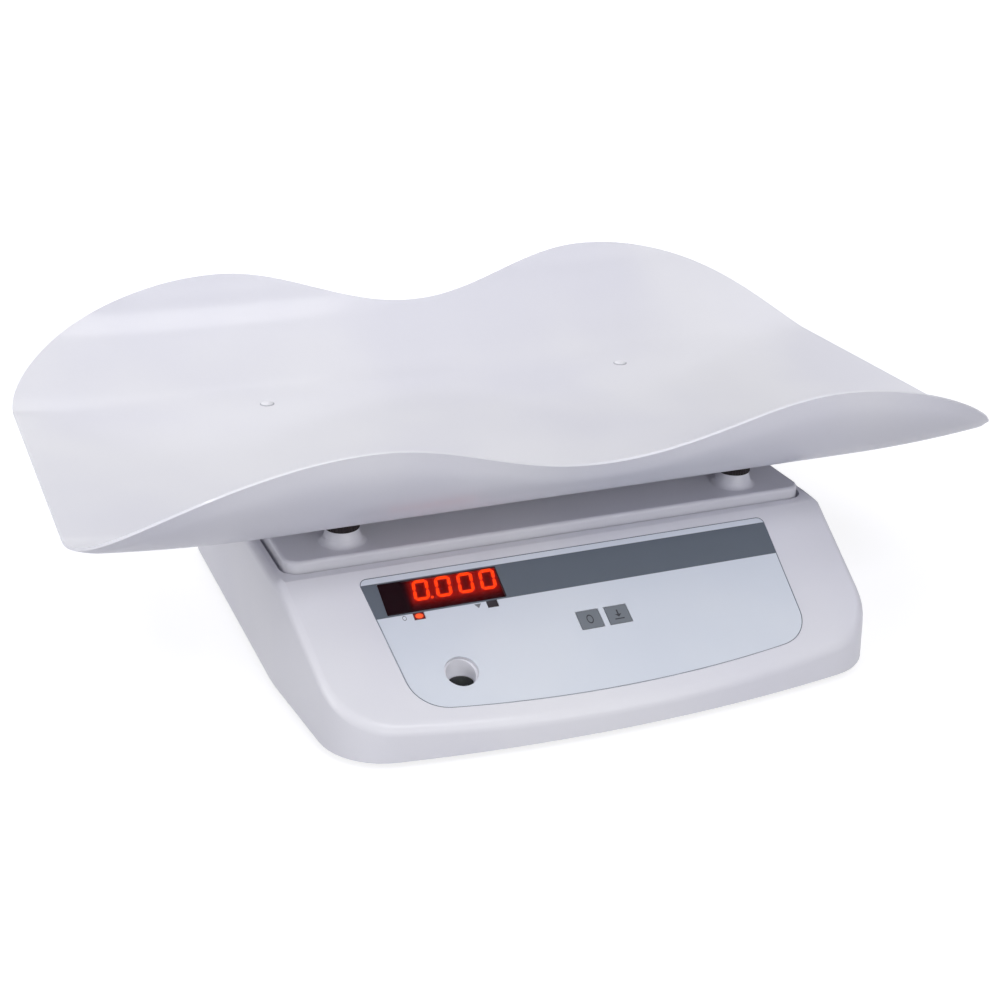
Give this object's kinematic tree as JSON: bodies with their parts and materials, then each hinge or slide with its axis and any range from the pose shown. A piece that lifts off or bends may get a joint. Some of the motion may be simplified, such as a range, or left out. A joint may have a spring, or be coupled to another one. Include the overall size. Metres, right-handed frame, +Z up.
{
  "type": "digital baby weighing scale",
  "caption": "Table-top baby scale: curved white tray on rubber pads over a load-cell platform, slanted control panel with red digits, keys and spirit level, levelling screw feet.",
  "frame": {"origin": "middle of the scale's footprint on the table, under its bounding box", "axes": "+X along the tray to the operator's right, +Y from the control panel towards the back, +Z up"},
  "size_m": [0.54, 0.3696, 0.16],
  "materials": {
    "white_shell": "smooth moulded gloss",
    "pan_grey": "fine moulded texture",
    "overlay_film": "printed membrane, semi-gloss",
    "red_filter": "dark red transparent filter",
    "digit_red": "lit segments",
    "lamp_lit": "lit lamp",
    "lamp_dark": "unlit lamp",
    "key_grey": "printed membrane",
    "black_plastic": "moulded",
    "lead_grey": "sleeved lead",
    "board_green": "solder mask",
    "component_black": "moulded packages",
    "screw_steel": "zinc plated",
    "frame_steel": "zinc plated plate",
    "cell_aluminium": "machined",
    "pad_rubber": "moulded rubber",
    "sole_rubber": "moulded rubber",
    "insert_brass": "turned",
    "vial_dark": "dark liquid behind a clear cap"
  },
  "bodies": {
    "base": {"upper_housing": "white_shell", "bottom_pan": "pan_grey", "overlay_panel": "overlay_film", "display_window": "red_filter", "digit_segments": "digit_red", "display_module": "black_plastic", "zero_lamp": "lamp_lit", "net_lamp": "lamp_dark", "key_switches": "black_plastic", "main_board": "board_green", "board_components": "component_black", "board_screws": "screw_steel", "bubble_cup": "white_shell", "bubble_vial": "vial_dark", "load_cell": "cell_aluminium", "cell_foot_block": "cell_aluminium", "cell_foot_bolts": "screw_steel", "power_inlet": "black_plastic", "rocker_frame": "black_plastic", "foot_inserts": "insert_brass", "housing_screws": "screw_steel", "cell_lead": "lead_grey"},
    "platform": {"platform_cover": "white_shell", "platform_frame": "frame_steel", "cell_head_block": "cell_aluminium", "cell_head_bolts": "screw_steel", "overload_stops": "screw_steel", "pad_screws": "screw_steel", "rubber_pads": "pad_rubber", "tray": "white_shell", "tray_screws": "screw_steel"},
    "zero_key_body": {"zero_key": "key_grey"},
    "tare_key_body": {"tare_key": "key_grey"},
    "rocker_body": {"power_rocker": "black_plastic"},
    "foot_1": {"foot_sole_1": "sole_rubber"},
    "foot_1_screw": {"foot_screw_1": "black_plastic"},
    "foot_2": {"foot_sole_2": "sole_rubber"},
    "foot_2_screw": {"foot_screw_2": "black_plastic"},
    "foot_3": {"foot_sole_3": "sole_rubber"},
    "foot_3_screw": {"foot_screw_3": "black_plastic"},
    "foot_4": {"foot_sole_4": "sole_rubber"},
    "foot_4_screw": {"foot_screw_4": "black_plastic"}
  },
  "joints": [
    {"name": "platform_sink", "type": "slide", "parent": "base", "child": "platform", "axis": [0, 0, -1], "range_m": [0, 0.0005], "stiffness_N_per_m": 290000, "springref_m": -0.0001, "deforming": ["load_cell"]},
    {"name": "zero_key_press", "type": "slide", "parent": "base", "child": "zero_key_body", "axis": [0, 0.4726, -0.8813], "range_m": [0, 0.0004], "stiffness_N_per_m": 5000, "springref_m": -0.00002},
    {"name": "tare_key_press", "type": "slide", "parent": "base", "child": "tare_key_body", "axis": [0, 0.4726, -0.8813], "range_m": [0, 0.0004], "stiffness_N_per_m": 5000, "springref_m": -0.00002},
    {"name": "rocker_tip", "type": "hinge", "parent": "base", "child": "rocker_body", "pos_m": [0.07, 0.12259, 0.03], "axis": [-1, 0, 0], "range_deg": [0, 18]},
    {"name": "foot_1_travel", "type": "slide", "parent": "base", "child": "foot_1", "axis": [0, 0, -1], "range_m": [0, 0.006]},
    {"name": "foot_1_turn", "type": "hinge", "parent": "foot_1", "child": "foot_1_screw", "pos_m": [-0.128, -0.14002, 0.005], "axis": [0, 0, -1], "range_deg": [0, 1728.3]},
    {"name": "foot_2_travel", "type": "slide", "parent": "base", "child": "foot_2", "axis": [0, 0, -1], "range_m": [0, 0.006]},
    {"name": "foot_2_turn", "type": "hinge", "parent": "foot_2", "child": "foot_2_screw", "pos_m": [0.128, -0.14002, 0.005], "axis": [0, 0, -1], "range_deg": [0, 1728.3]},
    {"name": "foot_3_travel", "type": "slide", "parent": "base", "child": "foot_3", "axis": [0, 0, -1], "range_m": [0, 0.006]},
    {"name": "foot_3_turn", "type": "hinge", "parent": "foot_3", "child": "foot_3_screw", "pos_m": [-0.138, 0.09798, 0.005], "axis": [0, 0, -1], "range_deg": [0, 1728.3]},
    {"name": "foot_4_travel", "type": "slide", "parent": "base", "child": "foot_4", "axis": [0, 0, -1], "range_m": [0, 0.006]},
    {"name": "foot_4_turn", "type": "hinge", "parent": "foot_4", "child": "foot_4_screw", "pos_m": [0.138, 0.09798, 0.005], "axis": [0, 0, -1], "range_deg": [0, 1728.3]}
  ],
  "couplings": [
    {"joint": "foot_1_turn", "follows": "foot_1_travel", "rad_per_m": 5026.5},
    {"joint": "foot_2_turn", "follows": "foot_2_travel", "rad_per_m": 5026.5},
    {"joint": "foot_3_turn", "follows": "foot_3_travel", "rad_per_m": 5026.5},
    {"joint": "foot_4_turn", "follows": "foot_4_travel", "rad_per_m": 5026.5}
  ]
}
